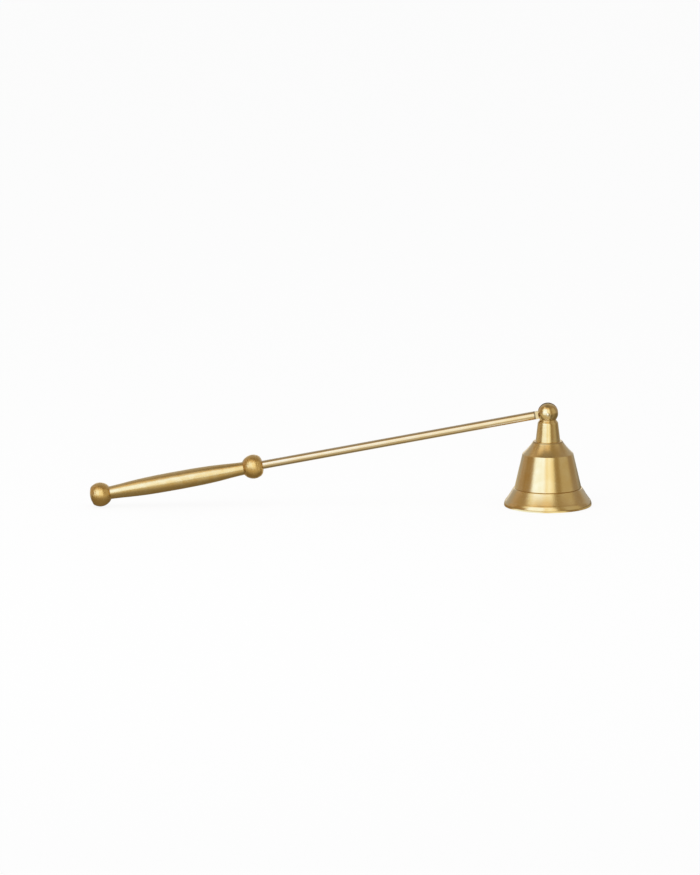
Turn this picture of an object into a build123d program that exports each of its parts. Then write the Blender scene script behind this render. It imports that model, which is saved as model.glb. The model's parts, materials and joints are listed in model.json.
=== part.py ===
from build123d import *

import math
import os

# Candle snuffer of turned brass
# A bell that smothers the flame hangs from a slotted ball at the end of a long slim handle.
# It is modelled as it rests on a table: the bell stands on its rim, and the knob at the
# far end of the handle touches the same surface.
# Lengths are in millimetres. The origin is the centre of the bell's mouth, +Z is up,
# and the handle runs towards -X, sloping down to the table.

# Bell, from its rim upwards
rim_radius = 24.78
rim_width = 1.4
lip_height = 3.75
lip_taper = 1.18
lip_bulge = 0.6
lip_wall = 1.65
crease_depth = 0.22
flare_height = 6.3
flare_sag = 0.22
flare_overhang = 0.65
groove_height = 0.35
groove_depth = 0.2
body_base_radius = 18.95
body_height = 19.5
body_taper = 4.5
body_corner_round = 0.6
shoulder_height = 7.3
shoulder_sag = 0.35
bell_wall = 1.4
crown_thickness = 2.4
ledge_width = 1.25
ledge_slope = 0.1
rim_edge_round = 0.25

# Neck and slotted ball, one turned piece that stands on the bell's crown
neck_base_radius = 7.0
neck_taper = 1.22
neck_height = 10.55
cap_height = 1.7
cap_taper = 1.18
cap_edge_round = 0.9
waist_round = 0.35
ball_radius = 5.9
slot_width = 2.4
slot_depth = 4.2

# Hinge pin, with a domed head at each end in a shallow recess
pin_radius = 1.0
pin_head_overhang = 0.12
pin_head_edge = 0.2
pin_head_dome = 0.42
pin_fit = 0.02
pin_recess_gap = 0.13
pin_recess_depth = 0.1

# Rod, milled at one end to a tongue with a round eye
rod_radius = 2.38
tongue_radius = 2.2
tongue_thickness = 2.2
tongue_length = 7.6
hinge_clearance = 0.05
rod_bare_length = 156.5
rod_edge_break = 0.15
rod_socket_depth = 3.0
tail_radius = 1.9
tail_engagement = 9.0

# Knobs at both ends of the grip
knob_radius = 6.87
knob_face_radius = 5.1
knob_face_dome = 1.15
knob_edge_round = 3.0
knob_seat_margin = 0.15

# Grip, a slim spindle
grip_length = 76.85
grip_end_radius = 3.68
grip_swell = 1.57
grip_length_shares = (0.0, 0.09, 0.21, 0.355)
grip_swell_shares = (0.0, 0.265, 0.7, 0.945)
grip_end_slope_share = 0.035

# Stud between the grip and the end knob
stud_radius = 2.0
stud_in_grip = 8.5
stud_in_knob = 7.5
stud_end_chamfer = 0.4

# Screw and washer that hold the bell to the neck from inside
screw_radius = 2.0
screw_engagement = 7.5
screw_head_radius = 3.6
screw_head_edge = 1.0
screw_head_dome = 1.1
screw_slot_width = 1.0
screw_slot_depth = 1.0
screw_hole_gap = 0.15
screw_end_chamfer = 0.4
washer_radius = 4.6
washer_thickness = 0.8
washer_edge_round = 0.15

# Fits and allowances
thread_fit = 0.05
rod_fit = 0.04
blind_end_gap = 1.0
cut_overrun = 2.0

# Heights up the bell and the neck
flare_top = lip_height + flare_height
body_base = flare_top + groove_height
body_top = body_base + body_height
bell_height = body_top + shoulder_height
ledge_rim_height = bell_height - ledge_slope
crown_underside = bell_height - crown_thickness
washer_underside = crown_underside - washer_thickness
neck_top = bell_height + neck_height
waist_height = neck_top + cap_height

# Radii up the bell and the neck
lip_top_radius = rim_radius - lip_taper
crease_radius = lip_top_radius - crease_depth
flare_top_radius = body_base_radius + flare_overhang
groove_radius = body_base_radius - groove_depth
body_top_radius = body_base_radius - body_taper
ledge_radius = neck_base_radius + ledge_width
neck_top_radius = neck_base_radius - neck_taper
waist_radius = neck_top_radius - cap_taper

# The ball sits on the waist, and its centre is the hinge axis
pin_height = waist_height + math.sqrt(ball_radius**2 - waist_radius**2)
slot_floor = pin_height - slot_depth

# A knob's domed face and its seat, measured from the knob's centre
knob_face_offset = math.sqrt(knob_radius**2 - knob_face_radius**2)
knob_tip_offset = knob_face_offset + knob_face_dome
knob_dome_radius = (knob_face_radius**2 + knob_face_dome**2) / (2 * knob_face_dome)
knob_seat_radius = grip_end_radius + knob_seat_margin
knob_seat_offset = math.sqrt(knob_radius**2 - knob_seat_radius**2)

# Distances along the handle, measured from the hinge pin
rod_bare_end = tongue_length + rod_bare_length
rod_shoulder = rod_bare_end + rod_socket_depth
collar_centre = rod_bare_end + knob_tip_offset
grip_start = collar_centre + knob_seat_offset
grip_end = grip_start + grip_length
end_knob_centre = grip_end + knob_seat_offset
rod_tail_end = grip_start + tail_engagement

# The handle slopes down until the end knob touches the table
rest_tilt = math.asin((pin_height - knob_radius) / end_knob_centre)
handle_direction = (-math.cos(rest_tilt), 0, -math.sin(rest_tilt))
handle_axis = Axis((0, 0, pin_height), handle_direction)


def handle_plane(distance):
    """Upright plane through the handle's axis: local x runs along the handle, away from the pin."""
    start = (distance * handle_direction[0], 0, pin_height + distance * handle_direction[2])
    return Plane(origin=start, x_dir=handle_direction, z_dir=(0, 1, 0))


def knob_face(outward, radius):
    """The point of a knob's domed face that lies at a radius from the handle's axis."""
    fall = knob_dome_radius - math.sqrt(knob_dome_radius**2 - radius**2)
    return (outward * (knob_tip_offset - fall), radius)


def knob_profile(outward, bore_steps, mouth_radius):
    """Half outline of a knob about its centre: a ball with a domed face on its outward side, a
    seat on the other, and a bore that bore_steps walks back along, from the seat to the face."""
    mouth = knob_face(outward, mouth_radius)
    face_edge = knob_face(outward, knob_face_radius)
    seat_edge = (-outward * knob_seat_offset, knob_seat_radius)
    with BuildSketch() as profile:
        with BuildLine():
            ThreePointArc(mouth, knob_face(outward, (mouth_radius + knob_face_radius) / 2), face_edge)
            ThreePointArc(face_edge, (0, knob_radius), seat_edge)
            Polyline(seat_edge, *bore_steps, mouth)
        make_face()
    return profile.sketch


def outer_ring(part, axis, place):
    """The widest round edge among those at one end of a piece, first or last along an axis."""
    return part.edges().filter_by(GeomType.CIRCLE).group_by(axis)[place].sort_by(SortBy.LENGTH)[-1]


def ring_at(part, place):
    """The full round edge of a turned piece that passes nearest to a point."""
    rings = part.edges().filter_by(lambda edge: edge.is_closed)
    return rings.sort_by_distance(place)[0]


def knob_face_ring(part, centre, outward):
    """The round edge between a knob's ball and its domed face."""
    return ring_at(part, handle_plane(centre).from_local_coords((*knob_face(outward, knob_face_radius), 0)))


os.makedirs("parts", exist_ok=True)

# Bell
inner_rim_radius = rim_radius - rim_width
inner_lip_radius = crease_radius - lip_wall
inner_base_radius = body_base_radius - bell_wall
inner_top_radius = body_top_radius - bell_wall
inner_body_top = body_top - bell_wall / 2
crown_hole_radius = screw_radius + screw_hole_gap
with BuildPart() as bell:
    with BuildSketch(Plane.XZ):
        with BuildLine():
            Line((inner_rim_radius, 0), (rim_radius, 0))
            SagittaArc((rim_radius, 0), (lip_top_radius, lip_height), -lip_bulge)
            Line((lip_top_radius, lip_height), (crease_radius, lip_height))
            SagittaArc((crease_radius, lip_height), (flare_top_radius, flare_top), flare_sag)
            Polyline(
                (flare_top_radius, flare_top),
                (groove_radius, flare_top + groove_height / 2),
                (body_base_radius, body_base),
                (body_top_radius, body_top),
            )
            SagittaArc((body_top_radius, body_top), (ledge_radius, ledge_rim_height), shoulder_sag)
            Polyline(
                (ledge_radius, ledge_rim_height),
                (neck_base_radius, bell_height),
                (crown_hole_radius, bell_height),
                (crown_hole_radius, crown_underside),
                (ledge_radius, crown_underside),
            )
            SagittaArc((ledge_radius, crown_underside), (inner_top_radius, inner_body_top), -shoulder_sag)
            Line((inner_top_radius, inner_body_top), (inner_base_radius, flare_top))
            SagittaArc((inner_base_radius, flare_top), (inner_lip_radius, lip_height), -flare_sag)
            Line((inner_lip_radius, lip_height), (inner_rim_radius, 0))
        make_face()
    revolve(axis=Axis.Z)
    fillet(ring_at(bell, (body_top_radius, 0, body_top)), body_corner_round)
    rim_edges = bell.edges().filter_by(GeomType.CIRCLE).group_by(Axis.Z)[0]
    fillet(rim_edges, rim_edge_round)
bell.part.label = "bell"
export_step(bell.part, "parts/bell.step")

# Neck and slotted ball
pin_head_radius = pin_radius + pin_head_overhang
recess_radius = pin_head_radius + pin_recess_gap
recess_floor = math.sqrt(ball_radius**2 - recess_radius**2) - pin_recess_depth
tapped_radius = screw_radius + thread_fit
tapped_depth = screw_engagement + blind_end_gap
with BuildPart() as hinge_head:
    with BuildSketch(Plane.XZ):
        with BuildLine():
            Polyline(
                (0, pin_height + ball_radius),
                (0, bell_height),
                (neck_base_radius, bell_height),
                (neck_top_radius, neck_top),
                (waist_radius, waist_height),
            )
            ThreePointArc(
                (waist_radius, waist_height), (ball_radius, pin_height), (0, pin_height + ball_radius)
            )
        make_face()
    revolve(axis=Axis.Z)
    fillet(ring_at(hinge_head, (neck_top_radius, 0, neck_top)), cap_edge_round)
    fillet(ring_at(hinge_head, (waist_radius, 0, waist_height)), waist_round)
    with BuildSketch(Plane.XY.offset(slot_floor)):
        Rectangle((neck_base_radius + cut_overrun) * 2, slot_width)
    extrude(amount=slot_depth + ball_radius + cut_overrun, mode=Mode.SUBTRACT)
    with BuildSketch(Plane.XY.offset(bell_height)):
        Circle(tapped_radius)
    extrude(amount=tapped_depth, mode=Mode.SUBTRACT)
    with BuildSketch(Plane.XZ):
        with Locations((0, pin_height)):
            Circle(pin_radius + pin_fit)
    extrude(amount=ball_radius + cut_overrun, both=True, mode=Mode.SUBTRACT)
    for side in (1, -1):
        with BuildSketch(Plane.XZ.offset(side * recess_floor)):
            with Locations((0, pin_height)):
                Circle(recess_radius)
        extrude(amount=side * (ball_radius + cut_overrun - recess_floor), mode=Mode.SUBTRACT)
hinge_head.part.label = "hinge_head"
export_step(hinge_head.part, "parts/hinge_head.step")

# Hinge pin
pin_head_shoulder = recess_floor + pin_head_edge
pin_tip = pin_head_shoulder + pin_head_dome
with BuildPart() as hinge_pin:
    with BuildSketch(Plane.YZ):
        with BuildLine():
            Polyline(
                (0, pin_height + pin_radius),
                (recess_floor, pin_height + pin_radius),
                (recess_floor, pin_height + pin_head_radius),
                (pin_head_shoulder, pin_height + pin_head_radius),
            )
            RadiusArc(
                (pin_head_shoulder, pin_height + pin_head_radius),
                (pin_tip, pin_height),
                (pin_head_radius**2 + pin_head_dome**2) / (2 * pin_head_dome),
            )
            Polyline((pin_tip, pin_height), (0, pin_height), (0, pin_height + pin_radius))
        make_face()
    revolve(axis=Axis((0, 0, pin_height), (0, 1, 0)))
    mirror(about=Plane.XZ)
hinge_pin.part.label = "hinge_pin"
export_step(hinge_pin.part, "parts/hinge_pin.step")

# Rod with its milled tongue
with BuildPart() as rod:
    with BuildSketch(handle_plane(0)):
        with BuildLine():
            Polyline(
                (-rod_radius, 0),
                (-rod_radius, rod_radius),
                (rod_shoulder, rod_radius),
                (rod_shoulder, tail_radius),
                (rod_tail_end, tail_radius),
                (rod_tail_end, 0),
                close=True,
            )
        make_face()
    revolve(axis=handle_axis)
    for side in (1, -1):
        with BuildSketch(handle_plane(0).offset(side * tongue_thickness / 2)):
            with Locations((tongue_length, 0)):
                Rectangle(
                    tongue_length + rod_radius + cut_overrun,
                    (rod_radius + cut_overrun) * 2,
                    align=(Align.MAX, Align.CENTER),
                )
        extrude(amount=side * (rod_radius + cut_overrun), mode=Mode.SUBTRACT)
    with BuildSketch(handle_plane(0)):
        Circle(tongue_radius)
        Rectangle(tongue_length, tongue_radius * 2, align=(Align.MIN, Align.CENTER))
        with Locations((tongue_length, 0)):
            Rectangle(rod_tail_end, (rod_radius + cut_overrun) * 2, align=(Align.MIN, Align.CENTER))
    extrude(amount=rod_radius + cut_overrun, both=True, mode=Mode.INTERSECT)
    with BuildSketch(handle_plane(0)):
        Circle(pin_radius + hinge_clearance)
    extrude(amount=rod_radius + cut_overrun, both=True, mode=Mode.SUBTRACT)
    chamfer(outer_ring(rod, handle_axis, -1), rod_edge_break)
rod.part.label = "rod"
export_step(rod.part, "parts/rod.step")

# Collar knob, between the rod and the grip
rod_socket_radius = rod_radius + rod_fit
tail_bore_radius = tail_radius + thread_fit
with BuildPart() as collar_knob:
    with BuildSketch(handle_plane(collar_centre)):
        add(
            knob_profile(
                -1,
                (
                    (knob_seat_offset, tail_bore_radius),
                    (rod_shoulder - collar_centre, tail_bore_radius),
                    (rod_shoulder - collar_centre, rod_socket_radius),
                ),
                rod_socket_radius,
            )
        )
    revolve(axis=handle_axis)
    fillet(knob_face_ring(collar_knob, collar_centre, -1), knob_edge_round)
collar_knob.part.label = "collar_knob"
export_step(collar_knob.part, "parts/collar_knob.step")

# Grip
stud_bore_radius = stud_radius + thread_fit
front_bore_end = rod_tail_end + blind_end_gap
rear_bore_end = grip_end - stud_in_grip - blind_end_gap
grip_front_half = [
    (grip_start + grip_length * along, grip_end_radius + grip_swell * swell)
    for along, swell in zip(grip_length_shares, grip_swell_shares)
]
grip_middle = ((grip_start + grip_end) / 2, grip_end_radius + grip_swell)
grip_rear_half = [(grip_start + grip_end - along, radius) for along, radius in reversed(grip_front_half)]
with BuildPart() as grip:
    with BuildSketch(handle_plane(0)):
        with BuildLine():
            Spline(
                *grip_front_half,
                grip_middle,
                *grip_rear_half,
                tangents=((1, grip_end_slope_share), (1, -grip_end_slope_share)),
            )
            Polyline(
                (grip_end, grip_end_radius),
                (grip_end, stud_bore_radius),
                (rear_bore_end, stud_bore_radius),
                (rear_bore_end, 0),
                (front_bore_end, 0),
                (front_bore_end, tail_bore_radius),
                (grip_start, tail_bore_radius),
                (grip_start, grip_end_radius),
            )
        make_face()
    revolve(axis=handle_axis)
grip.part.label = "grip"
export_step(grip.part, "parts/grip.step")

# Stud that joins the grip and the end knob
with BuildPart() as knob_stud:
    with BuildSketch(handle_plane(grip_end)):
        with BuildLine():
            Polyline(
                (-stud_in_grip, 0),
                (-stud_in_grip, stud_radius),
                (stud_in_knob, stud_radius),
                (stud_in_knob, 0),
                close=True,
            )
        make_face()
    revolve(axis=handle_axis)
    for place in (0, -1):
        chamfer(outer_ring(knob_stud, handle_axis, place), stud_end_chamfer)
knob_stud.part.label = "knob_stud"
export_step(knob_stud.part, "parts/knob_stud.step")

# End knob
knob_bore_end = stud_in_knob + blind_end_gap - knob_seat_offset
with BuildPart() as end_knob:
    with BuildSketch(handle_plane(end_knob_centre)):
        add(
            knob_profile(
                1,
                (
                    (-knob_seat_offset, stud_bore_radius),
                    (knob_bore_end, stud_bore_radius),
                    (knob_bore_end, 0),
                ),
                0,
            )
        )
    revolve(axis=handle_axis)
    fillet(knob_face_ring(end_knob, end_knob_centre, 1), knob_edge_round)
end_knob.part.label = "end_knob"
export_step(end_knob.part, "parts/end_knob.step")

# Washer inside the bell's crown
with BuildPart() as bell_washer:
    with BuildSketch(Plane.XY.offset(washer_underside)):
        Circle(washer_radius)
        Circle(crown_hole_radius, mode=Mode.SUBTRACT)
    extrude(amount=washer_thickness)
    fillet(outer_ring(bell_washer, Axis.Z, 0), washer_edge_round)
bell_washer.part.label = "bell_washer"
export_step(bell_washer.part, "parts/bell_washer.step")

# Slotted screw, driven from inside the bell
head_shoulder = washer_underside - screw_head_edge
head_top = head_shoulder - screw_head_dome
screw_end = bell_height + screw_engagement
with BuildPart() as bell_screw:
    with BuildSketch(Plane.XZ):
        with BuildLine():
            Polyline(
                (0, head_top),
                (0, screw_end),
                (screw_radius, screw_end),
                (screw_radius, washer_underside),
                (screw_head_radius, washer_underside),
                (screw_head_radius, head_shoulder),
            )
            RadiusArc(
                (screw_head_radius, head_shoulder),
                (0, head_top),
                (screw_head_radius**2 + screw_head_dome**2) / (2 * screw_head_dome),
            )
        make_face()
    revolve(axis=Axis.Z)
    chamfer(outer_ring(bell_screw, Axis.Z, -1), screw_end_chamfer)
    with BuildSketch(Plane.XY.offset(head_top + screw_slot_depth)):
        Rectangle((screw_head_radius + cut_overrun) * 2, screw_slot_width)
    extrude(amount=-(screw_slot_depth + cut_overrun), mode=Mode.SUBTRACT)
bell_screw.part.label = "bell_screw"
export_step(bell_screw.part, "parts/bell_screw.step")

print(f"hinge pin {pin_height:.3f} mm above the table, handle tilt {math.degrees(rest_tilt):.3f} degrees")
print(f"bell height {bell_height:.2f} mm, handle from pin to end {end_knob_centre + knob_tip_offset:.2f} mm")
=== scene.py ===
import json
import math
import random

import bpy
import numpy as np
from mathutils import Matrix, Vector, noise

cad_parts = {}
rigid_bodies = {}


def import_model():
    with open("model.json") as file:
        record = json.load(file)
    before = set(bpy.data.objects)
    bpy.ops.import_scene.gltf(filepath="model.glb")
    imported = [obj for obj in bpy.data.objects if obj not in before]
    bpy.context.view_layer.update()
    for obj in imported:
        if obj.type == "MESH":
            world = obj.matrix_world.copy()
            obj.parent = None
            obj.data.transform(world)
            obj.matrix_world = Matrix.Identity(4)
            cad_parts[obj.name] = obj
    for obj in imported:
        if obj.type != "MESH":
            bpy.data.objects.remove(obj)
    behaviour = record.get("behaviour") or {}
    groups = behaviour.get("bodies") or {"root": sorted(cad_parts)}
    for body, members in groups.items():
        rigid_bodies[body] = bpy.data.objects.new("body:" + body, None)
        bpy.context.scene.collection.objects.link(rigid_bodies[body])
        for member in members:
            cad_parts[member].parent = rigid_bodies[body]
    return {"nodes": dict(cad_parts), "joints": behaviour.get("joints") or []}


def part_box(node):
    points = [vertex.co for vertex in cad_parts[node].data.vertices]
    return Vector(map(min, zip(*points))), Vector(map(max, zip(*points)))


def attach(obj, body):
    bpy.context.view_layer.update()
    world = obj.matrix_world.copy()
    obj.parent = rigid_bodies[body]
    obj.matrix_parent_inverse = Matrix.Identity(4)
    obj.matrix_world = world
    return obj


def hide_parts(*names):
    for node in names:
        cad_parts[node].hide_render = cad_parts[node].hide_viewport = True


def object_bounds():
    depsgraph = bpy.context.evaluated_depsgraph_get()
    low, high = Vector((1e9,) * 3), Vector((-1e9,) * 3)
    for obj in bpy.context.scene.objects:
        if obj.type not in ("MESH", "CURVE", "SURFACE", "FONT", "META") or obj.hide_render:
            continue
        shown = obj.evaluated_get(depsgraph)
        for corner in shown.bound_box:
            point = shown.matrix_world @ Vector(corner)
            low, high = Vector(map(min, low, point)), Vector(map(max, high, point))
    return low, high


bl_info = {
    "name": "Candle Snuffer",
    "version": (1, 0, 0),
    "blender": (4, 5, 0),
    "location": "3D View > Sidebar > Snuffer",
    "description": "Dresses the turned brass candle snuffer and sets up its studio",
    "category": "Object",
}

# The candle snuffer's looks: turned brass meshes over the fixed frame, their finishes, and a small studio.
# Lengths are in metres. The bell stands on its rim at the origin and the handle runs towards -X.

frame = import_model()
CAD_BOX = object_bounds()
HINGE = frame["joints"][0]
PIN = Vector(HINGE["pos_m"])
HANDLE_BODY = HINGE["parent"]
BELL_BODY = HINGE["child"]

MM = 0.001
FIT_TOLERANCE = 0.12 * MM

# Turned meshes: the least rounding, the angle that stays sharp, and how far to each side a bend is measured
EDGE_ROUND = 0.08 * MM
SHARP_ANGLE = math.radians(32)
BEND_REACH = 0.35 * MM

# A radius that counts as the axis, and what keeps an angle or a quotient of nothing at 0
AXIS_RADIUS = 1e-9
NO_LENGTH = 1e-12
AXIS_CLEARANCE = 1e-6


def property_maker(kind, scale=None, **settings):
    """A function that makes one sort of property from its name, its description and its default."""

    def make(name, description, value):
        default = value if scale is None else value * scale
        return kind(name=name, description=description, default=default, **settings)

    return make


# Lengths are given here in millimetres and turns in degrees. A level of 1 shows a white surface as white.
FLOAT = bpy.props.FloatProperty
length = property_maker(FLOAT, MM, min=0.0, precision=5, subtype="DISTANCE", unit="LENGTH")
turn = property_maker(FLOAT, math.radians(1), subtype="ANGLE", unit="ROTATION")
share = property_maker(FLOAT, min=0.0, max=1.0, subtype="FACTOR")
level = property_maker(FLOAT, min=0.0)
pixel_place = property_maker(FLOAT, subtype="PIXEL")
pixel_count = property_maker(bpy.props.IntProperty, min=1, subtype="PIXEL")
colour = property_maker(bpy.props.FloatVectorProperty, size=3, min=0.0, max=1.0, subtype="COLOR")


class BellSizes(bpy.types.PropertyGroup):
    """Sizes of the bell, from its rim upwards."""

    rim_radius: length("Rim radius", "Outer radius of the bell's mouth", 24.78)
    rim_width: length("Rim width", "Width of the flat rim that the bell stands on", 1.4)
    rim_round: length("Rim rounding", "Rounding of the rim's two edges", 0.25)
    lip_height: length("Lip height", "Height of the rolled lip", 3.75)
    lip_taper: length("Lip taper", "How far the lip draws in towards its top", 1.18)
    lip_bulge: length("Lip bulge", "How far the lip stands out of its chord", 0.6)
    lip_wall: length("Lip wall", "Thickness of the wall at the lip's top", 1.65)
    crease_depth: length("Crease depth", "Depth of the crease above the lip", 0.22)
    flare_height: length("Flare height", "Height of the flared skirt", 6.3)
    flare_sag: length("Flare hollow", "How far the skirt is hollowed", 0.22)
    flare_overhang: length("Flare overhang", "How far the skirt's top stands out of the body", 0.65)
    groove_height: length("Groove height", "Height of the groove above the skirt", 0.35)
    groove_depth: length("Groove depth", "Depth of that groove in the body", 0.2)
    body_base_radius: length("Body base radius", "Radius at the foot of the straight body", 18.95)
    body_height: length("Body height", "Height of the straight body", 19.5)
    body_taper: length("Body taper", "How far the body draws in towards its top", 4.5)
    body_corner_round: length("Body corner rounding", "Rounding between body and shoulder", 0.6)
    shoulder_height: length("Shoulder height", "Height of the hollow shoulder", 7.3)
    shoulder_sag: length("Shoulder hollow", "How far the shoulder is hollowed", 0.35)
    wall: length("Wall", "Thickness of the bell's wall", 1.4)
    crown_thickness: length("Crown thickness", "Thickness of the crown under the neck", 2.4)
    crown_hole_radius: length("Crown hole radius", "Radius of the screw's hole", 2.15)
    ledge_width: length("Ledge width", "Width of the ledge around the neck's foot", 1.25)
    ledge_slope: length("Ledge slope", "Fall of the ledge towards its rim", 0.1)
    neck_base_radius: length("Neck foot radius", "Radius of the neck where it stands on the crown", 7.0)


class HandleSizes(bpy.types.PropertyGroup):
    """Sizes of the handle, along its axis from the hinge pin."""

    rod_radius: length("Rod radius", "Radius of the long rod", 2.38)
    rod_tail_radius: length("Rod tail radius", "Radius of the threaded tail in the knob and grip", 1.9)
    rod_socket_depth: length("Rod socket depth", "How deep the rod sits in the collar knob", 3.0)
    rod_tail_engagement: length("Rod tail engagement", "How far the tail reaches into the grip", 9.0)
    bore_gap: length("Bore gap", "Clearance round the rod and the threads", 0.05)
    blind_gap: length("Blind end gap", "Room left beyond the end of a thread", 1.0)
    tongue_length: length("Tongue length", "Milled flat between the pin and the full round", 7.6)
    rod_bare_length: length("Bare rod length", "Rod seen between the tongue and the collar knob", 156.5)
    knob_radius: length("Knob radius", "Radius of both ball knobs", 6.87)
    knob_face_radius: length("Knob face radius", "Radius of a knob's shallow domed outward face", 5.1)
    knob_face_dome: length("Knob face dome", "How far that face is domed", 1.15)
    knob_edge_round: length("Knob edge rounding", "Rounding between the face and the ball", 3.0)
    knob_seat_margin: length("Knob seat margin", "How far a knob's seat stands out of the grip", 0.15)
    grip_length: length("Grip length", "Length of the spindle-shaped grip", 76.85)
    grip_end_radius: length("Grip end radius", "Radius of the grip at its ends", 3.68)
    grip_swell: length("Grip swell", "How much the grip swells in its middle", 1.57)
    grip_end_slope: share("Grip end slope", "Slope of the grip's outline at its ends", 0.035)
    stud_radius: length("Stud radius", "Radius of the stud in the end knob", 2.0)
    stud_in_grip: length("Stud in grip", "How far the stud reaches into the grip", 8.5)
    stud_in_knob: length("Stud in knob", "How far the stud reaches into the end knob", 7.5)


class MarkSizes(bpy.types.PropertyGroup):
    """Sizes of the marks that turning and hand finishing leave in the brass."""

    bell_pitch: length("Bell mark pitch", "Distance between the turning marks on the bell", 0.62)
    bell_depth: length("Bell mark depth", "Depth of the turning marks on the bell", 0.011)
    knob_pitch: length("Knob mark pitch", "Distance between the turning marks on the knobs", 1.3)
    knob_depth: length("Knob mark depth", "Depth of the turning marks on the knobs", 0.10)
    grip_pitch: length("Grip mark pitch", "Distance between the turning marks on the grip", 0.7)
    grip_depth: length("Grip mark depth", "Depth of the turning marks on the grip", 0.006)
    grip_dapple_size: length("Grip dapple size", "Size of the shallow hand-rubbed dapples", 4.2)
    grip_dapple_depth: length("Grip dapple depth", "Depth of those dapples", 0.035)


class BrassColours(bpy.types.PropertyGroup):
    """Linear colours of the brass parts."""

    bell: colour("Bell", "Satin brass of the bell", (0.83, 0.60, 0.27))
    neck: colour("Neck", "Satin brass of the neck and its ball", (0.83, 0.61, 0.28))
    knob: colour("Knobs", "Brushed brass of both knobs", (0.83, 0.55, 0.20))
    grip: colour("Grip", "Rubbed brass of the grip", (0.82, 0.59, 0.26))
    rod: colour("Rod", "Paler brass of the drawn rod", (0.84, 0.66, 0.40))
    pin: colour("Pin", "Polished brass of the hinge pin", (0.88, 0.72, 0.42))
    fastener: colour("Fasteners", "Machined brass of the screw and washer", (0.76, 0.57, 0.28))
    stud: colour("Stud", "Plain steel of the stud", (0.56, 0.56, 0.55))
    # Grime and painted shade share this dark brown, in creases and in bands at steps
    grime: colour("Grime", "Dark brown that gathers in creases", (0.20, 0.115, 0.045))


class StageSettings(bpy.types.PropertyGroup):
    """The camera, the floor and the lights."""

    view_azimuth: turn("View azimuth", "Bearing of the camera, 0 looks along +Y", -0.921)
    view_elevation: turn("View elevation", "Height of the camera above the horizon", 10.874)
    view_distance: length("View distance", "Distance from the camera to the bell", 17300.0)
    pixel_size: length("Pixel size", "Width of one pixel of the picture at the bell", 0.5673)
    image_width: pixel_count("Image width", "Width of the picture", 700)
    image_height: pixel_count("Image height", "Height of the picture", 875)
    bell_pixel_x: pixel_place("Bell pixel x", "Where the bell's mouth lies across the picture", 547.83)
    bell_pixel_y: pixel_place("Bell pixel y", "Where the bell's mouth lies down the picture", 504.96)
    floor_size: length("Floor size", "Side of the square floor", 12000.0)
    floor_gap: length("Floor gap", "Gap that keeps the floor clear of the bell's rim", 0.3)
    floor_white: share("Floor white", "How far the floor is shown as plain white", 0.9)
    tent_radius: length("Tent radius", "Radius of the light tent round the snuffer", 2000.0)
    lamp_size: length("Lamp size", "Width of the lamp that casts the shadow", 900.0)
    lamp_distance: length("Lamp distance", "Distance from that lamp to the snuffer", 1100.0)
    lamp_level: level("Lamp level", "Brightness of that lamp", 1.4)
    room_level: level("Room level", "Brightness of the room for surfaces that don't shine", 0.75)


PROPERTY_GROUPS = {
    "snuffer_bell": BellSizes,
    "snuffer_handle": HandleSizes,
    "snuffer_marks": MarkSizes,
    "snuffer_colours": BrassColours,
    "snuffer_stage": StageSettings,
}


# Outlines of turned pieces

class Outline:
    """Half the outline of a turned piece, walked with the metal on the left.

    A point is (radius, height along the axis). Each stretch ends in a corner, which may be rounded.
    """

    ARC_POINTS = 49
    BALL_POINTS = 97
    LEAST_ROUNDING_STEPS = 4

    def __init__(self, radius, height):
        self.end = np.array((radius, height))
        self.runs = []
        self.roundings = []

    def _walk(self, points, rounding):
        """Adds a stretch, and how its far end is rounded where another follows."""
        self.runs.append(points)
        self.roundings.append(rounding)
        self.end = points[-1]

    def line(self, radius, height, rounding=0.0):
        """Straight to a point."""
        self._walk(np.array((self.end, (radius, height))), rounding)

    def arc(self, radius, height, rise, rounding=0.0):
        """Along an arc that rises to the left of its chord, or to the right where rise is negative."""
        target = np.array((radius, height))
        chord = target - self.end
        span = np.hypot(*chord)
        along = chord / span
        side = np.array((-along[1], along[0])) * math.copysign(1.0, rise)
        arc_radius = (span**2 / 4 + rise**2) / (2 * abs(rise))
        centre = (self.end + target) / 2 - side * (arc_radius - abs(rise))
        half = math.asin(min(1.0, span / 2 / arc_radius))
        angles = np.linspace(-half, half, self.ARC_POINTS)[:, None]
        points = centre + arc_radius * (np.cos(angles) * side + np.sin(angles) * along)
        self._walk(points, rounding)

    def ball(self, radius, height, centre_height, rounding=0.0):
        """Along a circle whose centre is on the axis."""
        start = math.atan2(self.end[0], self.end[1] - centre_height)
        stop = math.atan2(radius, height - centre_height)
        ball_radius = math.hypot(radius, height - centre_height)
        angles = np.linspace(start, stop, self.BALL_POINTS)
        points = np.stack((np.sin(angles), np.cos(angles)), 1) * ball_radius + (0, centre_height)
        self._walk(points, rounding)

    def curve(self, points, rounding=0.0):
        """Along a row of points."""
        self._walk(np.vstack((self.end, points)), rounding)

    def sampled(self, step):
        """Points about one step apart along the outline, with its corners rounded."""
        turns = []
        for run, after in zip(self.runs, self.runs[1:]):
            one, two = run[-1] - run[-2], after[1] - after[0]
            cosine = np.dot(one, two) / (np.hypot(*one) * np.hypot(*two))
            turns.append(math.acos(max(-1.0, min(1.0, cosine))))
        cuts = [r * math.tan(t / 2) for r, t in zip(self.roundings, turns)] + [0.0]
        pieces = []
        before = 0.0
        for run, cut, rounding in zip(self.runs, cuts, self.roundings):
            walked = walked_lengths(run)
            count = max(2, math.ceil((walked[-1] - before - cut) / step) + 1)
            part = points_at(np.linspace(before, walked[-1] - cut, count), walked, run)
            if before:
                start, corner = pieces[-1][-1], run[0]
                steps = max(self.LEAST_ROUNDING_STEPS, math.ceil(2 * before / step))
                t = np.linspace(0, 1, steps + 1)[1:-1, None]
                pieces.append((1 - t) ** 2 * start + 2 * t * (1 - t) * corner + t**2 * part[0])
            elif pieces:
                part = part[1:]
            pieces.append(part)
            before = cut
        return np.vstack(pieces)


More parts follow.
